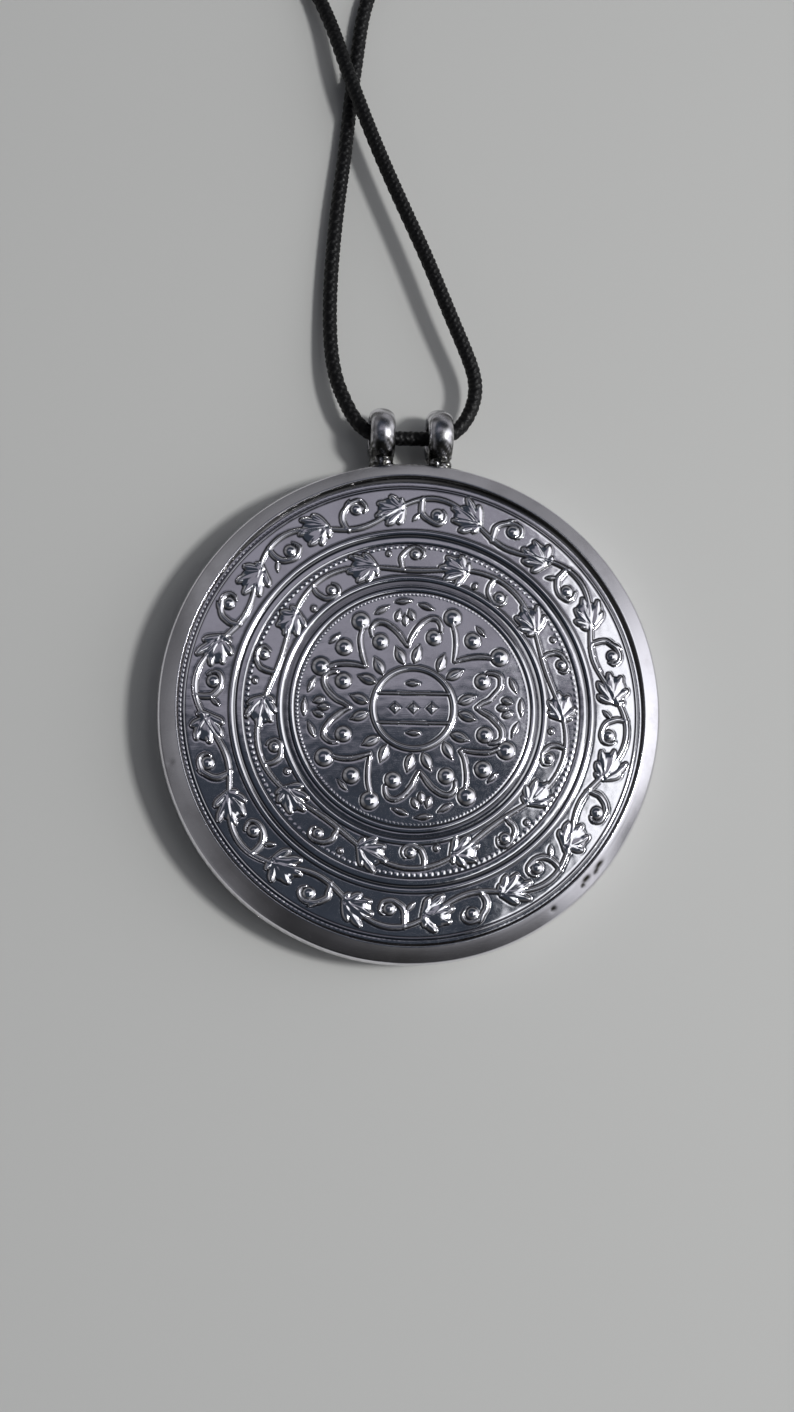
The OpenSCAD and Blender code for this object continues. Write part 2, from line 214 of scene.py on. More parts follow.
# The cord's route, from between the bails round to the same place, as in the part's source
ROUTE = [
    (0, 31.3, 2.8), (-3.6, 31.1, 3), (-5.9, 32.5, 2.9), (-7.3, 35.3, 2.6),
    (-8.6, 38.7, 2.1), (-9.1, 43.9, 1.5), (-9, 50.7, 1.3), (-8.3, 59.1, 1.2),
    (-7.3, 66.4, 1), (-6.7, 73.6, 0.9), (-5.9, 79.1, 0.9), (-5, 87.6, 0.9),
    (0.5, 95.3, 0.9), (10, 101.1, 0.9), (19.5, 108.3, 0.9), (26, 119.9, 0.9),
    (26.5, 135.2, 0.9), (25.8, 149.3, 0.9), (26.4, 164.7, 0.9), (24.8, 178.8, 0.9),
    (15.4, 187.9, 0.9), (7.4, 187.2, 1.7), (3.9, 187.1, 2.3), (-3.9, 187.1, 2.3),
    (-7.4, 187.2, 1.7), (-15.5, 188.1, 0.9), (-24.7, 179.4, 0.9), (-26.7, 165.2, 0.9),
    (-26.2, 149.8, 0.9), (-25.7, 135.6, 0.9), (-26.3, 120.8, 0.9), (-22.8, 107, 0.9),
    (-16.3, 96, 0.9), (-9.9, 85, 1.4), (-7.8, 77.3, 2.7), (-6.2, 72.4, 3.2),
    (-3.9, 66.2, 3.3), (-1.1, 59.5, 3.4), (1.8, 53, 3.6), (4.2, 46.7, 3.7),
    (6.3, 41.7, 3.6), (7.6, 38.4, 3.3), (7.4, 35.5, 3.2), (5.9, 32.5, 3),
    (3.6, 31.2, 3),
]
# The knot: its middle, turns, distance between turns, radius of a turn and of its strand, and how far the
# cord's two ends reach and lie beside it
KNOT_AT = np.array([0, 187.1, 2.25])
KNOT_TURNS = 5.6
KNOT_PITCH = 1.28
KNOT_TURN_R = 1.68
KNOT_STRAND_R = 0.56
TAIL_REACH = 10
TAIL_BESIDE = 1.7

# Camera at the photograph's angle: where it looks, the way from there to the camera, its distance, and its
# focal length on a 36 mm sensor
LOOK_AT = (-1.28, 0.95, 1.3)
TOWARDS_CAMERA = (-0.1067, -0.1582, 0.9816)
CAMERA_DISTANCE = 180
FOCAL_LENGTH = 41.45


def add_camera():
    target = Vector(LOOK_AT) * MM
    away = Vector(TOWARDS_CAMERA).normalized()
    up = (Vector((0, 1, 0)) - away.y * away).normalized()
    side = up.cross(away)
    lens = bpy.data.cameras.new("photo_view")
    lens.sensor_width = 36
    lens.lens = FOCAL_LENGTH
    lens.clip_start = 0.005
    lens.clip_end = 20
    camera = new_object("photo_view", lens)
    place = Matrix.Translation(target + away * CAMERA_DISTANCE * MM)
    camera.matrix_world = place @ Matrix((side, up, away)).transposed().to_4x4()
    bpy.context.scene.camera = camera


# Objects and meshes
def new_object(name, data):
    obj = bpy.data.objects.new(name, data)
    bpy.context.collection.objects.link(obj)
    return obj


def add_mesh(name, points, quads):
    """A smooth mesh object from points in millimetres and an array of quads."""
    mesh = bpy.data.meshes.new(name)
    points = np.asarray(points, np.float32) * MM
    quads = np.asarray(quads, np.int32)
    mesh.vertices.add(len(points))
    mesh.vertices.foreach_set("co", points.ravel())
    mesh.loops.add(quads.size)
    mesh.loops.foreach_set("vertex_index", quads.ravel())
    mesh.polygons.add(len(quads))
    mesh.polygons.foreach_set("loop_start", np.arange(0, quads.size, quads.shape[1], dtype=np.int32))
    mesh.update(calc_edges=True)
    mesh.validate()
    mesh.shade_smooth()
    return new_object(name, mesh)


def grid_quads(rows, columns, wrap_rows=False, wrap_columns=False):
    """Quads between neighbouring points of a grid that is stored row by row."""
    i = np.arange(rows if wrap_rows else rows - 1)[:, None]
    j = np.arange(columns if wrap_columns else columns - 1)[None, :]
    i2, j2 = (i + 1) % rows, (j + 1) % columns
    corners = [i * columns + j, i * columns + j2, i2 * columns + j2, i2 * columns + j]
    shape = np.broadcast_shapes(i.shape, j.shape)
    return np.stack([np.broadcast_to(corner, shape) for corner in corners], -1).reshape(-1, 4)


def paint_attribute(obj, name, values):
    layer = obj.data.attributes.new(name, "FLOAT", "POINT")
    layer.data.foreach_set("value", np.asarray(values, np.float32))


def rising(value, start, width):
    """A ramp from 0 at start to 1 one width further on."""
    return np.clip((value - start) / width, 0, 1)


def turns(count):
    """Angles in radians at even steps of one full turn."""
    return np.linspace(0, 2 * math.pi, count, endpoint=False)


def at(radius, angle):
    """A place on the face: the angle is in degrees and runs clockwise from the bails."""
    a = np.radians(angle)
    return np.stack([radius * np.sin(a), radius * np.cos(a)], -1)


def through(points, steps):
    """A smooth line through points, with any further columns carried along."""
    p = np.asarray(points, float)
    p = np.vstack([2 * p[0] - p[1], p, 2 * p[-1] - p[-2]])
    out = []
    for i in range(1, len(p) - 2):
        t = np.arange(steps)[:, None] / steps
        a, b, c, d = p[i - 1], p[i], p[i + 1], p[i + 2]
        doubled = 2 * b + (c - a) * t + (2 * a - 5 * b + 4 * c - d) * t**2
        doubled = doubled + (3 * b - a - 3 * c + d) * t**3
        out.append(0.5 * doubled)
    return np.vstack(out + [p[-2:-1]])


class Relief:
    """Height of the face above its ground at a set of places, built up mark by mark.

    edge is the distance to the nearest mark, and gap the share of oxide in the dark places between marks.
    """

    # How far beyond a mark its edge is still worked out
    OUTLINE = 0.45
    # Powers that blend marks where they overlap, and that round the shoulders of a mark
    BLEND = 5
    SHOULDER = 1.15

    def __init__(self, x, y):
        self.x = x
        self.y = y
        self.r = np.hypot(x, y)
        self.a = np.degrees(np.arctan2(x, y)) % 360
        self.height = np.zeros_like(x)
        self.edge = np.full_like(x, 9.0)
        self.gap = np.zeros_like(x)

    def near(self, low, high, reach):
        """Places within reach of a box."""
        margin = reach + self.OUTLINE
        inside = (self.x > low[0] - margin) & (self.x < high[0] + margin)
        inside &= (self.y > low[1] - margin) & (self.y < high[1] + margin)
        return np.nonzero(inside)[0]

    def raise_to(self, index, share, edge, height, sharp):
        """share runs from 0 at the middle of a mark to 1 at its edge."""
        inside = np.clip(share, 0, 1)
        profile = height * (1 - inside**sharp) ** self.SHOULDER
        blended = self.height[index] ** self.BLEND + profile**self.BLEND
        self.height[index] = blended ** (1 / self.BLEND)
        self.edge[index] = np.minimum(self.edge[index], edge)

    def stroke(self, path, half_widths, height, sharp=2.0, steps=6):
        """A raised line through the points of a path, as wide at each as it says."""
        line = through(np.column_stack([path, half_widths]), steps)
        index = self.near(line[:, :2].min(0), line[:, :2].max(0), line[:, 2].max())
        if not len(index):
            return
        x, y = self.x[index], self.y[index]
        share = np.full(len(index), 9.0)
        edge = np.full(len(index), 9.0)
        for (ax, ay, aw), (bx, by, bw) in zip(line[:-1], line[1:]):
            dx, dy = bx - ax, by - ay
            t = np.clip(((x - ax) * dx + (y - ay) * dy) / max(dx * dx + dy * dy, 1e-9), 0, 1)
            away = np.hypot(x - ax - t * dx, y - ay - t * dy)
            wide = aw + t * (bw - aw)
            share = np.minimum(share, away / wide)
            edge = np.minimum(edge, away - wide)
        self.raise_to(index, share, edge, height, sharp)

    def ball(self, place, radius, height, sharp=2.3):
        index = self.near(place, place, radius)
        away = np.hypot(self.x[index] - place[0], self.y[index] - place[1])
        self.raise_to(index, away / radius, away - radius, height, sharp)

    def vein(self, start, end, half_width, depth):
        """A fine straight groove in what stands there already."""
        index = self.near(np.minimum(start, end), np.maximum(start, end), half_width)
        dx, dy = end - start
        x, y = self.x[index] - start[0], self.y[index] - start[1]
        t = np.clip((x * dx + y * dy) / (dx * dx + dy * dy), 0, 1)
        away = np.hypot(x - t * dx, y - t * dy)
        cut = depth * (1 - 0.5 * t) * np.exp(-((away / half_width) ** 2))
        self.height[index] = np.maximum(self.height[index] - cut, np.minimum(self.height[index], 0))

    def drop(self, place, length, half_width, direction, height):
        """A pointed oval; direction is a unit vector along it."""
        t = np.linspace(-1, 1, 7)
        path = place + np.outer(t * (length / 2 - 0.06), direction)
        wide = half_width * np.clip(np.cos(t * math.pi / 2) * (1 - 0.25 * t), 0.1, 1)
        self.stroke(path, wide, height, 1.5, steps=3)

    def ring(self, radius, half_width, height, flatness):
        away = np.abs(self.r - radius)
        index = np.nonzero(away < half_width + self.OUTLINE)[0]
        self.raise_to(index, away[index] / half_width, away[index] - half_width, height, flatness)

    def beads(self, radius, count, half_length, half_width, height, shares):
        """A row of squarish beads, a little uneven in place and size, with oxide between them."""
        index = np.nonzero(np.abs(self.r - radius) < half_width)[0]
        pitch = 360 / count
        slot = np.round(self.a[index] / pitch)
        wobble = 0.08 * np.sin(slot * 12.9898) * pitch
        along = np.radians(self.a[index] - slot * pitch + wobble) * radius
        size = 1 + 0.12 * np.sin(slot * 78.233)
        across = (self.r[index] - radius) / half_width
        share = np.clip(((along / half_length) ** 4 + across**4) ** 0.25 / size, 0, 1)
        height = height * np.interp(self.a[index], np.linspace(0, 360, 9), shares + shares[:1])
        self.height[index] = np.maximum(self.height[index], height * (1 - share**2) ** 2)
        between = np.clip(share * 3 - 2, 0, 1) * np.clip(4 - 4 * np.abs(across), 0, 1)
        self.gap[index] = between * np.minimum(1, height / 0.05)

    def wavy_stem(self, band):
        middle, swing, repeats, first, size = band[:5]
        phase = np.radians(repeats * (self.a - first))
        slope = swing * repeats / middle * np.sin(phase)
        away = np.abs(self.r - middle - swing * np.cos(phase)) / np.sqrt(1 + slope**2)
        half = STEM_HALF * size * (0.8 + 0.25 * np.cos(phase) ** 2)
        index = np.nonzero(away < STEM_HALF + self.OUTLINE)[0]
        self.raise_to(index, (away / half)[index], (away - half)[index], STEM_H, 2.0)


def bent(band, angle, along, outward):
    """A place in a band, along it and outward from its middle, which bends with the band."""
    middle, size = band[0], band[4]
    return at(middle + outward * size, angle + np.degrees(along * size / middle))


def scroll(relief, band, angle, side, path, berry):
    """A scroll that leaves the stem beside its swing; side is 1 where the stem swings out."""
    table = np.array(path)
    swing = band[1] / band[4]
    table[:, :2] += rng.normal(0, SCROLL_SHIFT, (len(table), 2))
    places = bent(band, angle, table[:, 0], side * (swing - table[:, 1]))
    relief.stroke(places, table[:, 2] * band[4], STEM_H * rng.uniform(0.95, 1.1), steps=4)
    along, away, radius = berry
    shift = rng.normal(0, SCROLL_BERRY_SHIFT, 2)
    place = bent(band, angle, along + shift[0], side * (swing - away - shift[1]))
    relief.ball(place, radius * band[4] * rng.uniform(0.94, 1.06), BAND_BERRY_H)


def leaf(relief, band, angle, lobes):
    """A lobed leaf whose foot is clockwise of its middle."""
    foot = np.array(LEAF_FOOT)
    spin = math.radians(rng.uniform(-LEAF_TURN, LEAF_TURN))
    turn = np.array([[math.cos(spin), -math.sin(spin)], [math.sin(spin), math.cos(spin)]])
    size = band[5]
    grow = rng.uniform(0.95, 1.06) * size / band[4]
    middle = np.mean([lobe[:2] for lobe in lobes], 0) @ turn.T * 0.85 * grow
    relief.ball(bent(band, angle, *middle), LEAF_BODY_R * size, LEAF_BODY_H, 3.5)
    lines = []
    for tip_x, tip_y, half in lobes:
        tip = np.array([tip_x, tip_y]) + rng.normal(0, TIP_SHIFT, 2)
        t = np.array([0, 0.5, 0.8, 1])[:, None]
        bow = np.array([-(tip - foot)[1], (tip - foot)[0]]) * rng.normal(0, LOBE_BOW)
        line = foot + (tip - foot) * t + bow * np.sin(t * math.pi)
        line = line @ turn.T * grow
        wide = np.array([0.24, 0.4, half, half * 0.62]) * size
        height = LEAF_H * rng.uniform(0.85, 1.05)
        places = bent(band, angle, line[:, 0], line[:, 1])
        relief.stroke(places, wide, height, 2.2, steps=3)
        lines.append(places)
    for places in lines:
        relief.vein(places[0], places[2], 0.12 * size, VEIN_DEPTH)


def vine_band(relief, band):
    half_turn = 180 / band[2]
    relief.wavy_stem(band)
    for i in range(2 * band[2]):
        angle = band[3] + i * half_turn
        outward = i % 2 == 0
        scroll(relief, band, angle, 1 if outward else -1,
               SCROLL_OUT if outward else SCROLL_IN, BERRY_OUT if outward else BERRY_IN)
        leaf(relief, band, angle + half_turn / 2, LEAF_TALL if outward else LEAF_ROUND)


def drops(relief, table, turn, height):
    for angle, radius, length, half_width, own_turn in table:
        a = math.radians(angle + turn + own_turn)
        direction = np.array([math.sin(a), math.cos(a)])
        relief.drop(at(radius, angle + turn), length, half_width, direction, height)


def flower(relief, axis, stem, berry, petals):
    """A stem and a berry to either side of an axis, and the petals near that axis."""
    for side in (-1, 1):
        table = np.array(stem, float)
        sway = rng.normal(0, STEM_SWAY[0], len(table))
        radii = table[:, 1] + rng.normal(0, STEM_SWAY[1], len(table))
        relief.stroke(at(radii, axis + side * table[:, 0] + sway), table[:, 2], FLOWER_H)
        angle, radius, ball_r = berry
        radius = radius + rng.normal(0, BERRY_SWAY[1])
        relief.ball(at(radius, axis + side * angle + rng.normal(0, BERRY_SWAY[0])), ball_r, BERRY_H)
    drops(relief, petals, axis, LEAF_H)


def medallion(relief):
    for axis in HEART_AXES:
        flower(relief, axis, HEART_SCROLL, HEART_BERRY, AXIS_DROPS)
    for axis in CORNER_AXES:
        flower(relief, axis, CORNER_STEM, CORNER_BERRY, CORNER_DROPS)
        relief.ball(at(MIDDLE_BERRY[0], axis), MIDDLE_BERRY[1], BERRY_H)


def cartouche(relief):
    """Two bars with a dash beyond each, and three plain lozenges between them."""
    reach = math.sqrt(BAR_END_R**2 - BAR_Y**2)
    for side in (-1, 1):
        relief.stroke([(-reach, side * BAR_Y), (reach, side * BAR_Y)], [BAR_HALF, BAR_HALF], BAR_H)
    drops(relief, BAR_DASHES, 0, CARTOUCHE_H)
    for i in (-1, 0, 1):
        away = np.abs(relief.x - i * LOZENGE_PITCH) + np.abs(relief.y)
        index = np.nonzero(away < LOZENGE_HALF + 0.4)[0]
        relief.raise_to(index, away[index] / LOZENGE_HALF, away[index] - LOZENGE_HALF, CARTOUCHE_H, 1.2)


def ripples(x, y, count, longest, shortest, seed):
    """A smooth uneven field, mostly between -1 and 1, made of waves."""
    waves = np.random.default_rng(seed)
    out = np.zeros_like(x)
    for _ in range(count):
        length = math.exp(waves.uniform(math.log(shortest), math.log(longest)))
        heading, phase = waves.uniform(0, 2 * math.pi, 2)
        out += np.sin(2 * math.pi / length * (x * math.cos(heading) + y * math.sin(heading)) + phase)
    return out / math.sqrt(count)


def face_heights(x, y):
    """Height of the face above the surface, and share of oxide, at each place."""
    relief = Relief(x, y)
    for ring in RINGS:
        relief.ring(*ring)
    vine_band(relief, OUTER_BAND)
    vine_band(relief, INNER_BAND)
    for i in range(8):
        drops(relief, BAND_DASHES, 45 * i, STEM_H)
    for i in range(5):
        for angle, radius, ball_r in BAND_DOTS:
            relief.ball(at(radius, angle + 72 * i), ball_r, DOT_H)
    medallion(relief)
    cartouche(relief)
    for row in BEAD_ROWS:
        relief.beads(*row)
    radius, half, dark = GROOVE
    relief.gap = np.maximum(relief.gap, dark * np.exp(-(((relief.r - radius) / half) ** 4)))
    outside = np.clip(relief.edge, -0.2, 9)
    cut = np.exp(-(((outside - 0.05) / CUT_HALF) ** 2)) * (relief.height < 0.02)
    sheet = sum(height * ripples(x, y, *waves) for height, *waves in SHEET_WAVES)
    z = GROUND_Z + relief.height - CUT_DEPTH * cut + sheet
    crease = np.exp(-((outside / CREASE_HALF) ** 2))
    low = np.clip(1.2 - relief.height / 0.12, 0, 1)
    oxide = np.clip(crease * low + 0.8 * relief.gap, 0, 1)
    return np.minimum(z, CASE_H - 0.01), oxide


# Pieces of the face
def square_to_disc(n):
    """Places of a grid of (n + 1) squared points on the unit disc, in even rings."""
    s = np.linspace(-1, 1, n + 1)
    u, v = np.meshgrid(s, s)
    wide = np.abs(u) > np.abs(v)
    big = np.where(wide, u, v)
    small = np.where(wide, v, u)
    turn = math.pi / 4 * np.divide(small, big, out=np.zeros_like(small), where=np.abs(big) > 1e-12)
    x = np.where(wide, big * np.cos(turn), big * np.sin(turn))
    y = np.where(wide, big * np.sin(turn), big * np.cos(turn))
    return x.ravel(), y.ravel()


def add_medallion(n=306):
    """The middle of the face: a closed piece whose top is a square grid bent to a disc."""
    x, y = square_to_disc(n)
    x, y = x * MEDALLION_R, y * MEDALLION_R
    z, oxide = face_heights(x, y)
    top = np.column_stack([x, y, z])
    index = np.arange((n + 1) ** 2).reshape(n + 1, n + 1)
    border = np.concatenate([index[0, :-1], index[:-1, -1], index[-1, :0:-1], index[:0:-1, 0]])
    back_rings = [top[border] * (share, share, 0) + (0, 0, FACE_BACK_Z) for share in (1.0, 0.5, 0.02)]
    points = np.vstack([top] + back_rings)
    count = len(border)
    quads = [grid_quads(n + 1, n + 1)]
    previous = border
    for k in range(len(back_rings)):
        ring = len(top) + k * count + np.arange(count)
        quads.append(np.column_stack([previous, ring, np.roll(ring, -1), np.roll(previous, -1)]))
        previous = ring
    obj = add_mesh("medallion_face", points, np.vstack(quads))
    paint_attribute(obj, "oxide", np.concatenate([oxide, np.full(len(back_rings) * count, 0.5)]))
    return obj


def add_band(name, start_r, end_r, columns=1248, rows=75):
    """A closed ring of the face between two radii."""
    r, a = np.meshgrid(np.linspace(start_r, end_r, rows + 1), turns(columns), indexing="ij")
    x, y = (r * np.sin(a)).ravel(), (r * np.cos(a)).ravel()
    z, oxide = face_heights(x, y)
    top = np.column_stack([x, y, z]).reshape(rows + 1, columns, 3)
    inner, outer = top[0].copy(), top[-1].copy()
    inner[:, 2] = outer[:, 2] = FACE_BACK_Z
    points = np.concatenate([inner[None], top, outer[None]])
    quads = grid_quads(rows + 3, columns, wrap_rows=True, wrap_columns=True)
    obj = add_mesh(name, points.reshape(-1, 3), quads)
    wall = np.full(columns, 0.5)
    paint_attribute(obj, "oxide", np.concatenate([wall, oxide, wall]))
    return obj


# The rim and its bails
def rim_section():
    """Points round the rim's section, from its foot up the outside, over the crest and down inside."""
    insets = [
        (1.7, 0), (1.3, 0.1), (0.95, 0.3), (0.65, 0.6), (0.4, 0.95), (0.22, 1.32), (0.1, 1.7), (0.03, 2.05),
        (0, WALL_FOOT_Z), (0, 3.2), (0, WALL_TOP_Z), (0.01, WALL_TOP_Z + 0.3), (0.02, WALL_TOP_Z + 0.48),
        (0.05, WALL_TOP_Z + 0.62),
    ]
    outside = [(DISC_R - inset, z) for inset, z in insets]
    bevel_w = DISC_R - 0.1 - CREST_R
    bevel = [(CREST_R + share * bevel_w, CASE_H - BEVEL_DROP * share**1.12)
             for share in (1, 0.9, 0.8, 0.7, 0.6, 0.5, 0.4, 0.3, 0.2, 0.12, 0.06)]
    crest = [(CREST_R - inset, CASE_H - drop)
             for inset, drop in ((0, 0), (0.07, 0.02), (0.14, 0.08), (0.22, 0.2), (0.3, 0.34))]
    sheet_edge, opening = SHEET_R + 0.05, SHEET_R - 0.8
    ledge = [(CREST_R - 0.37, GROUND_Z + 0.07), (sheet_edge, GROUND_Z + 0.05), (sheet_edge, FACE_BACK_Z),
             (opening, FACE_BACK_Z), (opening, FACE_BACK_Z - 0.4), (SHEET_R + 0.3, FACE_BACK_Z - 1)]
    hollow = [(DISC_R - 0.7, WALL_TOP_Z - 0.6), (DISC_R - 0.6, WALL_TOP_Z - 1), (DISC_R - 0.6, WALL_FOOT_Z),
              (DISC_R - 0.9, 1.5), (SHEET_R + 0.2, 0.8), (opening, 0.8), (opening, 0.4), (sheet_edge, 0.4),
              (sheet_edge, 0)]
    return np.array(outside + bevel + crest + ledge + hollow)


def add_ring_mesh(name, section, columns, bend=None):
    """A section turned about the z axis, whose points bend may move."""
    a, r = np.meshgrid(turns(columns), section[:, 0], indexing="ij")
    z = np.broadcast_to(section[:, 1], r.shape)
    points = np.stack([r * np.sin(a), r * np.cos(a), z], -1)
    if bend is not None:
        points = bend(points, a)
    quads = grid_quads(columns, len(section), wrap_rows=True, wrap_columns=True)
    return add_mesh(name, points.reshape(-1, 3), quads)


def crest_shift(angle):
    """How far the crest lies outside its mean circle at an angle in radians."""
    table = np.array(CREST_SHIFT + CREST_SHIFT[:1])
    place = np.degrees(angle) % 360 / 30
    step = np.minimum(place.astype(int), 11)
    t = place - step
    ease = t * t * (3 - 2 * t)
    height, count, phase = CREST_WAVE
    return table[step] * (1 - ease) + table[step + 1] * ease + height * np.sin(count * angle + phase)


def near_mark(angle, z, mark):
    """1 in the middle of a nick or pit, falling to 0 round about it."""
    degrees, height, size, _ = mark
    across = (np.degrees(angle) - degrees + 180) % 360 - 180
    return np.exp(-((np.radians(across) * DISC_R / size[0]) ** 2) - ((z - height) / size[1]) ** 2)


def worn(points, angle):
    """The rim's points with an uneven outside and crest, a flatter bevel beyond, nicks and pits."""
    z = points[..., 2]
    radius = np.hypot(points[..., 0], points[..., 1])
    lip_start = SHEET_R + 0.05
    lip = rising(radius, lip_start, CREST_R - lip_start)
    upper = rising(z, WALL_TOP_Z, CASE_H - WALL_TOP_Z)
    upper = np.where(radius < CREST_R, lip * (z > GROUND_Z), upper)
    shift = crest_shift(angle)
    wave = sum(height * np.sin(count * angle + phase) for height, count, phase in RIM_WAVES)
    outer = radius > DISC_R - OUTER_W
    grow = upper * shift + (OVAL * np.sin(2 * angle) + wave) * (1 - upper) * outer - INSET
    for mark in NICKS + PITS:
        grow = grow - mark[3] * near_mark(angle, z, mark) * outer
    share = 1 + grow / radius
    beyond = rising(np.cos(angle - FLATTER_AT), -0.2, 0.95)
    flatter = 1 - FLATTER * beyond * beyond * (3 - 2 * beyond) * (radius > CREST_R)
    worn_points = points * np.stack([share, share, np.ones_like(share)], -1)
    worn_points[..., 2] = np.where(z > WALL_TOP_Z, CASE_H - (CASE_H - z) * flatter, z)
    return worn_points


def bail_section():
    """Points round a bail's section, crowned outside and chamfered at the edges of its hole."""
    side_r = BAIL_BORE_R + 0.25
    turn = np.radians(np.linspace(-82, 82, 19))
    outer = np.column_stack([side_r + (BAIL_R - side_r) * np.cos(turn) ** 0.75, BAIL_HALF_W * np.sin(turn)])
    start = [(BAIL_BORE_R, 0.25 - BAIL_HALF_W), (BAIL_BORE_R + 0.1, 0.08 - BAIL_HALF_W)]
    end = [(r, -z) for r, z in reversed(start)]
    return np.array(start + outer.tolist() + end)


def add_bail(x):
    obj = add_ring_mesh("bail", bail_section(), 144)
    obj.data.transform(Matrix.Rotation(math.pi / 2, 4, "Y"))
    obj.data.transform(Matrix.Translation(Vector((x, BAIL_Y, BAIL_Z)) * MM))
    close_ends(obj)
    return obj


def add_solder(x, lumps):
    """A lump of solder between a bail's foot and the wall of the rim."""
    foot_y = math.sqrt(DISC_R**2 - x**2) - 0.9
    end_y = BAIL_Y - BAIL_BORE_R - 0.35
    rows, sides = 28, 64
    t = np.linspace(0, 1, rows)[:, None]
    a = turns(sides)[None, :]
    wide = (BAIL_HALF_W - 0.1) * (1 + 0.1 * (1 - t) ** 2)
    ends = np.sin(np.clip(t * 12, 0, math.pi / 2)) * np.sin(np.clip((1 - t) * 12, 0, math.pi / 2))
    wide = wide * np.clip(ends, 0.03, 1)
    px, pz = wide * np.cos(a), wide * 1.15 * np.sin(a)
    py = np.broadcast_to(foot_y + (end_y - foot_y) * t, px.shape)
    coarse = ripples(px * 3 + x, py * 3 + pz * 2, 18, 3.2, 1.2, 21)
    fine = ripples(pz * 4, py * 4 + px, 18, 2, 0.8, 22)
    grow = 1 + lumps * (coarse + 0.6 * fine) / np.maximum(np.hypot(px, pz), 0.4)
    points = np.stack([x + px * grow, py, BAIL_Z + pz * grow], -1)
    obj = add_mesh("solder", points.reshape(-1, 3), grid_quads(rows, sides, wrap_columns=True))
    close_ends(obj)
    return obj


def close_ends(obj):
    """Closes open ends and turns all faces outward."""
    work = bmesh.new()
    work.from_mesh(obj.data)
    bmesh.ops.holes_fill(work, edges=[e for e in work.edges if e.is_boundary])
    bmesh.ops.recalc_face_normals(work, faces=work.faces)
    work.to_mesh(obj.data)
    work.free()


def join_solids(base, others, name):
    """One solid from several that run into each other."""
    for other in others:
        step = base.modifiers.new("join", "BOOLEAN")
        step.operation = "UNION"
        step.solver = "EXACT"
        step.object = other
    bpy.context.view_layer.update()
    joined = bpy.data.meshes.new_from_object(base.evaluated_get(bpy.context.evaluated_depsgraph_get()))
    joined.name = name
    obj = new_object(name, joined)
    for old in [base] + others:
        bpy.data.objects.remove(old)
    return obj


def add_rim():
    """The rim, its two bails and their solder, as one solid."""
    rim = add_ring_mesh("rim_ring", rim_section(), 1080, worn)
    close_ends(rim)
    parts = []
    for side, lumps in zip((-1, 1), SOLDER_LUMPS):
        x = side * BAIL_PITCH / 2
        parts += [add_bail(x), add_solder(x, lumps)]
    rim = join_solids(rim, parts, "rim_and_bails")
    rim.data.shade_smooth()
    places = np.zeros(3 * len(rim.data.vertices))
    rim.data.vertices.foreach_get("co", places)
    x, y, z = places.reshape(-1, 3).T / MM
    # The rim's oxide attribute also carries painted shade in the cove and on the lower-left side
    paint_attribute(rim, "oxide", rim_oxide_and_shade(x, y, z))
    paint_attribute(rim, "matt", np.clip((np.hypot(x, y) - DISC_R - 0.1) / 0.3, 0, 1))
    return rim


def bail_oxide(x, y, z, blotch):
    """Dark blotches on the bails' feet and solder, and thin tarnish above."""
    bails = rising(y, 27.0, 0.5) * (z > 0.5) * (np.abs(x) < 5)
    foot = np.clip((BAIL_Y - 0.1 - y) / 1.5 + 0.25 * blotch, 0, 1)
    tarnish = np.clip(0.3 + 0.4 * ripples(x, y - z, 12, 3, 1.2, 32), 0, 0.75) * (y > BAIL_Y - 1)
    return bails * np.maximum(foot * np.clip(1.2 + 0.8 * blotch, 0.55, 1), tarnish)


def rim_oxide_and_shade(x, y, z):
    """Dark colour on the rim: oxide plus painted shade in the cove inside its crest, oxide in its pits,
    painted shade on its lower-left side, and oxide on the bails.
    """
    angle = np.arctan2(x, y)
    inside_crest = CREST_R + crest_shift(angle) - np.hypot(x, y)
    blotch = ripples(x * 1.3 + z, y * 1.3 - z, 24, 1.9, 0.5, 31)
    # Painted shade and oxide: the cove inside the crest is darkened both for its oxide and for the shade in
    # that hollow
    cove = rising(inside_crest, 0.04, 0.08) * rising(-inside_crest, -0.52, 0.12) * (z > GROUND_Z)
    pits = sum(near_mark(angle, z, pit) for pit in PITS) * (inside_crest < 0)
    # Painted shade: the outside below the bevel darkened towards the lower left, for its reflection of the
    # shadowed floor
    side = rising(-z, -WALL_TOP_Z - 0.55, 0.3) * (inside_crest < 0) * (y < 0)
    side = side * np.clip(3 * np.cos(angle - SIDE_SHADE_AT) - 2, 0, 1) * np.clip(0.5 + 0.2 * blotch, 0, 1)
    metal = np.maximum(0.9 * cove, 0.95 * bail_oxide(x, y, z, blotch))
    return np.clip(metal + 1.5 * pits + side, 0, 1)


# The cord
def on_route(samples_per_interval=40):
    """The smooth closed line that follows the route, as in the part's source."""
    p = np.array(ROUTE, float)
    a, b, c, d = np.roll(p, 1, 0), p, np.roll(p, -1, 0), np.roll(p, -2, 0)
    t = (np.arange(samples_per_interval) / samples_per_interval)[None, :, None]
    a, b, c, d = (q[:, None, :] for q in (a, b, c, d))
    line = (1 - t) ** 3 * a + (3 * t**3 - 6 * t**2 + 4) * b
    line = line + (3 * t + 3 * t**2 - 3 * t**3 + 1) * c + t**3 * d
    return (line / 6).reshape(-1, 3)


def spaced_loop(line, count):
    """count points at even distances round a closed line."""
    closed = np.vstack([line, line[:1]])
    length = np.concatenate([[0], np.cumsum(np.linalg.norm(np.diff(closed, axis=0), axis=1))])
    want = np.linspace(0, length[-1], count, endpoint=False)
    return np.column_stack([np.interp(want, length, closed[:, k]) for k in range(3)]), length[-1]


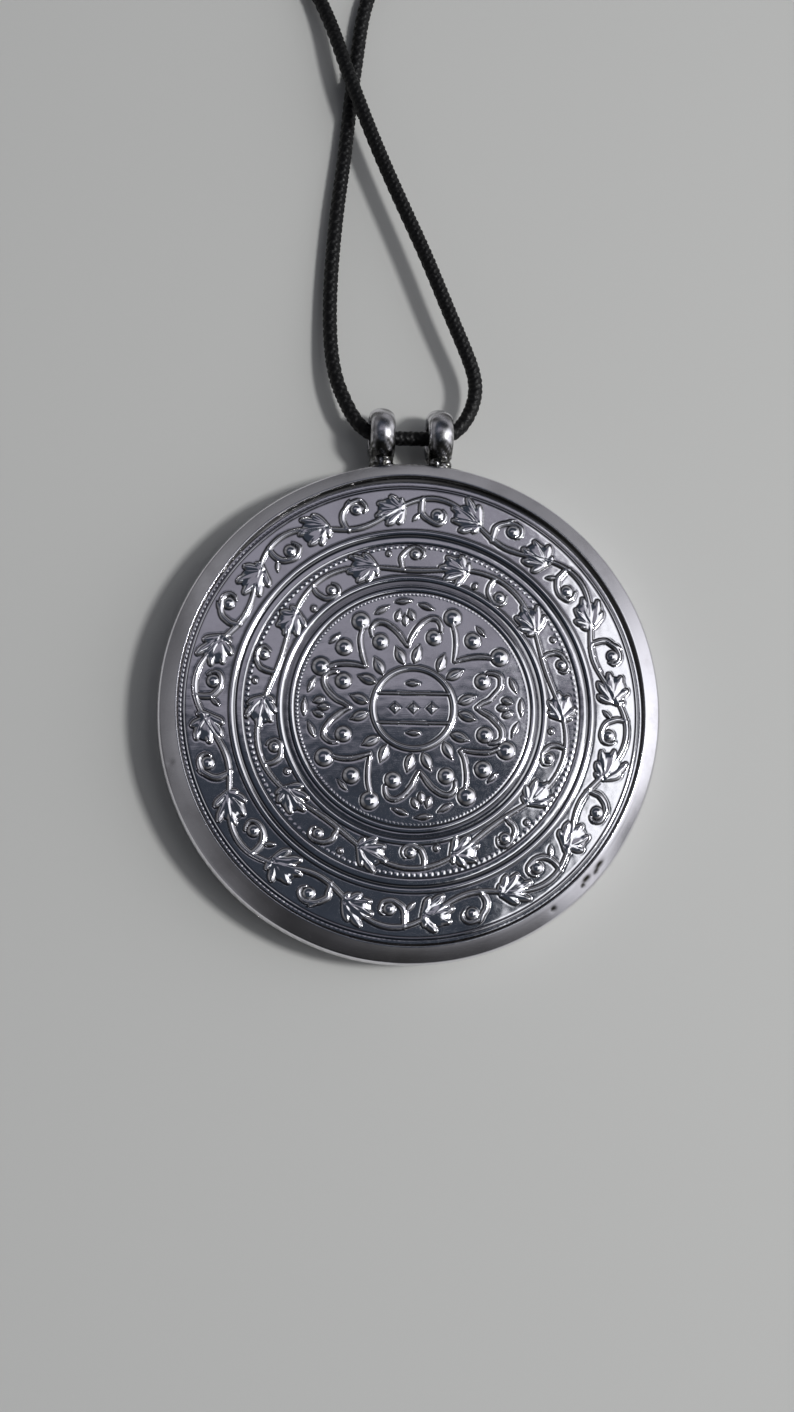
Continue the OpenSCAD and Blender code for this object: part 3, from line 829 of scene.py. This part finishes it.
def untwisted_frames(line):
    """Two directions across a closed line at each point, which turn as little as they can."""
    along = np.roll(line, -1, 0) - np.roll(line, 1, 0)
    along /= np.linalg.norm(along, axis=1)[:, None]
    across = np.zeros_like(line)
    v = np.cross(along[0], (0, 0, 1))
    across[0] = v / np.linalg.norm(v)
    for i in range(1, len(line)):
        v = across[i - 1] - along[i] * (across[i - 1] @ along[i])
        across[i] = v / np.linalg.norm(v)
    v = across[-1] - along[0] * (across[-1] @ along[0])
    v /= np.linalg.norm(v)
    slip = math.atan2(np.cross(v, across[0]) @ along[0], v @ across[0])
    turn = (slip * np.arange(len(line)) / len(line))[:, None]
    up = np.cross(along, across)
    across = across * np.cos(turn) + up * np.sin(turn)
    return across, np.cross(along, across)


def braid_height(i, j):
    """How high the strand on top stands, 0 to 1, at a point of the lattice of two sets of strands."""
    a, b = i / CELL_STEPS, j / CELL_STEPS
    ca, cb = np.floor(a), np.floor(b)
    fa, fb = a - ca, b - cb
    over = (ca + cb) % 4
    first = over < 2
    run = np.where(first, (over + fa) / 2, (over - 2 + fb) / 2)
    side = np.where(first, 2 * fb - 1, 2 * fa - 1)
    return np.sqrt(np.clip(1 - side**2, 0, 1)) * np.sqrt(np.clip(np.sin(math.pi * run), 0, 1))


def add_cord():
    """The braided cord, with its middle line and its length."""
    line = on_route()
    _, length = spaced_loop(line, 10)
    block = 4 * CELL_STEPS
    rows = int(round(length / (BRAID_CELL / CELL_STEPS / 2) / block)) * block
    centre, _ = spaced_loop(line, rows)
    across, up = untwisted_frames(centre)
    sides = STRANDS * CELL_STEPS
    m = np.arange(rows)[:, None]
    q = 2 * np.arange(sides)[None, :] + m % 2
    lift = braid_height((m + q) // 2, (m - q) // 2)
    angle = q * math.pi / sides
    radius = CORD_D / 2 - BRAID_DEPTH * (1 - lift)
    points = centre[:, None] + radius[..., None] * (
        np.cos(angle)[..., None] * across[:, None] + np.sin(angle)[..., None] * up[:, None])
    k = np.arange(sides)[None, :]
    shift = m % 2
    below = ((m - 1) % rows) * sides + (k + shift) % sides
    left = m * sides + k
    right = m * sides + (k + 1) % sides
    above = ((m + 1) % rows) * sides + (k + shift) % sides
    quads = np.stack([below, right, above, left], -1).reshape(-1, 4)
    obj = add_mesh("braided_cord", points.reshape(-1, 3), quads)
    paint_attribute(obj, "strand", lift.ravel())
    path = np.vstack([centre[::12], centre[:1]]) * MM
    return obj, path, length


def tube(line, radii, sides):
    """Points and quads of a tube along an open line."""
    along = np.gradient(line, axis=0)
    along /= np.linalg.norm(along, axis=1)[:, None]
    across = np.cross(along, (0, 0.02, 1))
    across /= np.linalg.norm(across, axis=1)[:, None]
    up = np.cross(across, along)
    a = turns(sides)
    points = line[:, None] + radii[:, None, None] * (
        np.cos(a)[None, :, None] * across[:, None] + np.sin(a)[None, :, None] * up[:, None])
    return points.reshape(-1, 3), grid_quads(len(line), sides, wrap_columns=True)


def add_knot():
    """A wound barrel over the cord, with its two sealed ends beside it."""
    t = np.linspace(0, 1, int(KNOT_TURNS * 40))
    a = 2 * math.pi * KNOT_TURNS * t
    line = np.column_stack([
        (t - 0.5) * KNOT_TURNS * KNOT_PITCH,
        KNOT_TURN_R * np.cos(a),
        KNOT_TURN_R * np.sin(a),
    ]) + KNOT_AT
    fade = np.clip(np.minimum(t, 1 - t) * 40, 0.15, 1) ** 0.5
    points, quads = tube(line, KNOT_STRAND_R * fade, 12)
    tail_x = np.linspace(-TAIL_REACH, TAIL_REACH, 60)
    tail_line = np.column_stack([tail_x, np.full(60, KNOT_AT[1] - TAIL_BESIDE), np.full(60, CORD_D / 2)])
    tail_fade = np.clip((TAIL_REACH - np.abs(tail_x)) * 3, 0.25, 1) ** 0.5
    tail_points, tail_quads = tube(tail_line, CORD_D / 2 * 0.98 * tail_fade, 16)
    quads = np.vstack([quads, tail_quads + len(points)])
    obj = add_mesh("wound_knot", np.vstack([points, tail_points]), quads)
    close_ends(obj)
    obj.data.shade_smooth()
    return obj


# Materials
def new_material(name):
    """A material, its node tree, the place on the object and the shader."""
    material = bpy.data.materials.new(name)
    material.use_nodes = True
    tree = material.node_tree
    place = tree.nodes.new("ShaderNodeTexCoord").outputs["Object"]
    return material, tree, place, tree.nodes["Principled BSDF"]


def noise_node(tree, vector, scale, detail, roughness):
    node = tree.nodes.new("ShaderNodeTexNoise")
    node.inputs["Scale"].default_value = scale
    node.inputs["Detail"].default_value = detail
    node.inputs["Roughness"].default_value = roughness
    tree.links.new(vector, node.inputs["Vector"])
    return node.outputs["Fac"]


def attribute_node(tree, name):
    node = tree.nodes.new("ShaderNodeAttribute")
    node.attribute_name = name
    return node.outputs["Fac"]


def math_node(tree, operation, first, second):
    node = tree.nodes.new("ShaderNodeMath")
    node.operation = operation
    for socket, value in zip(node.inputs, (first, second)):
        if isinstance(value, (int, float)):
            socket.default_value = value
        else:
            tree.links.new(value, socket)
    return node.outputs[0]


def range_node(tree, value, from_min, from_max, to_min=0, to_max=1, interpolation="SMOOTHSTEP"):
    node = tree.nodes.new("ShaderNodeMapRange")
    node.interpolation_type = interpolation
    tree.links.new(value, node.inputs["Value"])
    for socket, number in zip(node.inputs[1:5], (from_min, from_max, to_min, to_max)):
        socket.default_value = number
    return node.outputs["Result"]


def mix_node(tree, factor, first, second):
    node = tree.nodes.new("ShaderNodeMix")
    node.data_type = "RGBA"
    tree.links.new(factor, node.inputs[0])
    for socket, value in ((node.inputs[6], first), (node.inputs[7], second)):
        if isinstance(value, tuple):
            socket.default_value = (*value, 1)
        else:
            tree.links.new(value, socket)
    return node.outputs[2]


def bump_node(tree, height, strength, distance):
    node = tree.nodes.new("ShaderNodeBump")
    node.inputs["Strength"].default_value = strength
    node.inputs["Distance"].default_value = distance
    tree.links.new(height, node.inputs["Height"])
    return node.outputs["Normal"]


def dress(tree, shader, colour, roughness, normal):
    """Links the three outputs that a material is made of to its shader."""
    for name, value in (("Base Color", colour), ("Roughness", roughness), ("Normal", normal)):
        tree.links.new(value, shader.inputs[name])


SILVER = (0.83, 0.82, 0.86)
TARNISH = (0.46, 0.44, 0.46)
OXIDE = (0.02, 0.021, 0.026)
# Dark colour for the rim's oxide, also used for its painted shade
SOOT_AND_SHADE = (0.03, 0.029, 0.021)
CORD_SHADED_DEEP = (0.0008, 0.0008, 0.001)
CORD_TOP = (0.0045, 0.0044, 0.005)
KNOT_SHADED_DEEP = (0.002, 0.002, 0.0022)
KNOT_TOP = (0.009, 0.0088, 0.0095)
PALE = (0.62, 0.62, 0.6)


def silver_material(name, rough, tarnish, scratch, oxide=None, matt=0.0):
    """Polished silver with clouds of tarnish and fine scratches, dark and matt where its attributes say."""
    material, tree, place, shader = new_material(name)
    shader.inputs["Metallic"].default_value = 1.0
    cloud = noise_node(tree, place, 240, 4, 0.55)
    speck = noise_node(tree, place, 1900, 5, 0.7)
    colour = mix_node(tree, range_node(tree, cloud, 0.45, 0.72, 0.0, tarnish), SILVER, TARNISH)
    roughness = range_node(tree, speck, 0.3, 0.75, *rough)
    if oxide:
        colour = mix_node(tree, attribute_node(tree, "oxide"), colour, oxide)
    if matt:
        more = math_node(tree, "MULTIPLY", attribute_node(tree, "matt"), matt)
        more = math_node(tree, "MULTIPLY", more, range_node(tree, cloud, 0.3, 0.7, 0.7, 1.2))
        roughness = math_node(tree, "ADD", roughness, more)
    stretched = tree.nodes.new("ShaderNodeMapping")
    stretched.inputs["Scale"].default_value = (1, 9, 1)
    stretched.inputs["Rotation"].default_value = (0, 0, 0.5)
    tree.links.new(place, stretched.inputs["Vector"])
    lines = noise_node(tree, stretched.outputs["Vector"], 900, 4, 0.65)
    dress(tree, shader, colour, roughness, bump_node(tree, lines, scratch, 0.00002))
    return material


def cord_material():
    material, tree, place, shader = new_material("black_nylon")
    fibre = noise_node(tree, place, 5200, 3, 0.6)
    # Painted shade: the cord is darker where the braid sinks between strands and lighter on the strands' tops
    colour = mix_node(tree, attribute_node(tree, "strand"), CORD_SHADED_DEEP, CORD_TOP)
    roughness = range_node(tree, fibre, 0.3, 0.7, 0.34, 0.62)
    dress(tree, shader, colour, roughness, bump_node(tree, fibre, 0.5, 0.00006))
    shader.inputs["Specular IOR Level"].default_value = 0.28
    return material


def knot_material():
    material, tree, place, shader = new_material("black_nylon_knot")
    weave = tree.nodes.new("ShaderNodeTexVoronoi")
    weave.inputs["Scale"].default_value = 1500
    tree.links.new(place, weave.inputs["Vector"])
    distance = weave.outputs["Distance"]
    # Painted shade: the knot is darker towards the edges of each weave cell
    colour = mix_node(tree, distance, KNOT_TOP, KNOT_SHADED_DEEP)
    roughness = range_node(tree, distance, 0.1, 0.8, 0.36, 0.6)
    dress(tree, shader, colour, roughness, bump_node(tree, distance, 0.7, 0.0001))
    return material


def floor_material():
    material, _, _, shader = new_material("pale_sheet")
    shader.inputs["Base Color"].default_value = (*PALE, 1)
    shader.inputs["Roughness"].default_value = 0.9
    return material


def cover(obj, material):
    """One material all over an object."""
    obj.data.materials.clear()
    obj.data.materials.append(material)
    obj.data.polygons.foreach_set("material_index", np.zeros(len(obj.data.polygons), np.int32))


# Floor and light
FLOOR_HALF = 6000


def add_floor():
    corners = [(x * FLOOR_HALF, y * FLOOR_HALF, 0) for x, y in ((-1, -1), (1, -1), (1, 1), (-1, 1))]
    floor = add_mesh("floor", corners, [(0, 1, 2, 3)])
    cover(floor, floor_material())


# The room: azimuth in degrees, clockwise from the bails, and brightness above and near the horizon
WALLS = [
    (-180, 0.085, 0.02), (-170, 0.07, 0.017), (-151, 0.032, 0.031), (-132, 0.085, 0.18),
    (-114, 0.126, 0.17), (-95, 0.22, 0.096), (-79, 0.22, 0.11), (-63, 0.14, 0.096),
    (-48, 0.26, 0.085), (-34, 0.2, 0.076), (-20, 0.2, 0.064), (-7, 0.18, 0.02),
    (6, 0.26, 0.055), (18, 0.28, 0.13), (31, 0.23, 0.16), (43, 0.3, 0.06),
    (55, 0.48, 0.17), (68, 0.95, 0.42), (81, 1.25, 1.1), (94, 1.25, 1.1),
    (108, 1.05, 0.13), (123, 0.85, 0.75), (138, 0.31, 0.105), (154, 0.16, 0.045),
    (172, 0.09, 0.022),
]
HIGH_COLUMN = 1
LOW_COLUMN = 2
# The walls' height is measured along this direction, which leans to the right and beyond the bails
LEAN = (0.11, 0.16, 1)
HORIZON = (0.36, 0.36, 0.37)
DARK_ROOM = (0.036, 0.044, 0.058)
CEILING = (0.27, 0.265, 0.305)
WINDOW = (1.2, 1.22, 1.25)


def ramp_node(tree, turn, column):
    """Brightness by azimuth, from one column of the table of walls."""
    ramp = tree.nodes.new("ShaderNodeValToRGB")
    stops = ramp.color_ramp.elements
    for row in WALLS[1:-1]:
        stops.new((row[0] + 180) / 360).color = (row[column], row[column], row[column] * 1.04, 1)
    stops[0].color = (WALLS[0][column],) * 3 + (1,)
    stops[-1].color = (WALLS[-1][column],) * 3 + (1,)
    tree.links.new(turn, ramp.inputs[0])
    return ramp.outputs["Color"]


def add_world():
    """A dark room with a pale ceiling beyond the bails, a tall window to the right, and a pale horizon."""
    world = bpy.data.worlds.new("studio")
    bpy.context.scene.world = world
    world.use_nodes = True
    tree = world.node_tree
    direction = tree.nodes.new("ShaderNodeTexCoord").outputs["Generated"]
    split = tree.nodes.new("ShaderNodeSeparateXYZ")
    tree.links.new(direction, split.inputs[0])
    right, back, up = split.outputs
    azimuth = math_node(tree, "ARCTAN2", right, back)
    turn = range_node(tree, azimuth, -math.pi, math.pi, interpolation="LINEAR")
    leaning = tree.nodes.new("ShaderNodeVectorMath")
    leaning.operation = "DOT_PRODUCT"
    tree.links.new(direction, leaning.inputs[0])
    leaning.inputs[1].default_value = LEAN
    steep = leaning.outputs["Value"]

    high = range_node(tree, steep, 0.14, 0.42)
    walls = mix_node(tree, high, ramp_node(tree, turn, LOW_COLUMN), ramp_node(tree, turn, HIGH_COLUMN))
    walls = mix_node(tree, range_node(tree, up, 0.03, 0.14), HORIZON, walls)

    beyond = range_node(tree, back, 0.13, 0.185)
    overhead = range_node(tree, up, 0.85, 0.93)
    colour = mix_node(tree, math_node(tree, "MULTIPLY", beyond, overhead), DARK_ROOM, CEILING)

    to_right = range_node(tree, right, 0.203, 0.229)
    after_start = range_node(tree, azimuth, math.radians(50), math.radians(62))
    before_end = range_node(tree, azimuth, math.radians(107), math.radians(117), 1, 0)
    span = math_node(tree, "MULTIPLY", after_start, before_end)
    span = math_node(tree, "MAXIMUM", span, range_node(tree, up, 0.87, 0.93))
    colour = mix_node(tree, math_node(tree, "MULTIPLY", to_right, span), colour, WINDOW)
    colour = mix_node(tree, range_node(tree, steep, 0.6, 0.72), walls, colour)
    tree.links.new(colour, tree.nodes["Background"].inputs["Color"])


# One soft lamp to the right: its diameter in metres, power, tilt from upright, turn from +X and distance
LAMP_SIZE = 0.09
LAMP_WATTS = 1.75
LAMP_TILT = math.radians(34)
LAMP_TURN = math.radians(-3)
LAMP_DISTANCE = 0.6


def add_key():
    light = bpy.data.lights.new("key", "AREA")
    light.shape = "DISK"
    light.size = LAMP_SIZE
    light.energy = LAMP_WATTS
    lamp = new_object("key", light)
    across = math.sin(LAMP_TILT)
    direction = Vector((across * math.cos(LAMP_TURN), across * math.sin(LAMP_TURN), math.cos(LAMP_TILT)))
    lamp.location = direction * LAMP_DISTANCE
    lamp.rotation_euler = direction.to_track_quat("Z", "Y").to_euler()


# Building
add_camera()
cord, cord_path, cord_length = add_cord()
knot = add_knot()
face_pieces = [
    add_medallion(),
    add_band("inner_vine_band", MEDALLION_R, INNER_BAND_END_R),
    add_band("outer_vine_band", INNER_BAND_END_R, SHEET_R),
]
rim = add_rim()
add_floor()
add_world()
add_key()
bpy.context.scene.view_settings.view_transform = "Standard"

embossed = silver_material("embossed_silver", (0.06, 0.12), tarnish=0.3, scratch=0.08, oxide=OXIDE)
polished = silver_material("polished_silver", (0.08, 0.16), tarnish=0.35, scratch=0.12, oxide=SOOT_AND_SHADE, matt=0.14)
plain = silver_material("plain_silver", (0.18, 0.36), tarnish=0.7, scratch=0.5)
for piece in face_pieces:
    cover(piece, embossed)
    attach(piece, "root")
    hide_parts("embossed_face")
cover(rim, polished)
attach(rim, "root")
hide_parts("case_rim")
cover(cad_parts["underside_plate"], plain)
cover(cord, cord_material())
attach(cord, "root")
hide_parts("neck_cord")
cover(knot, knot_material())
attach(knot, "root")
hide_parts("cord_knot")
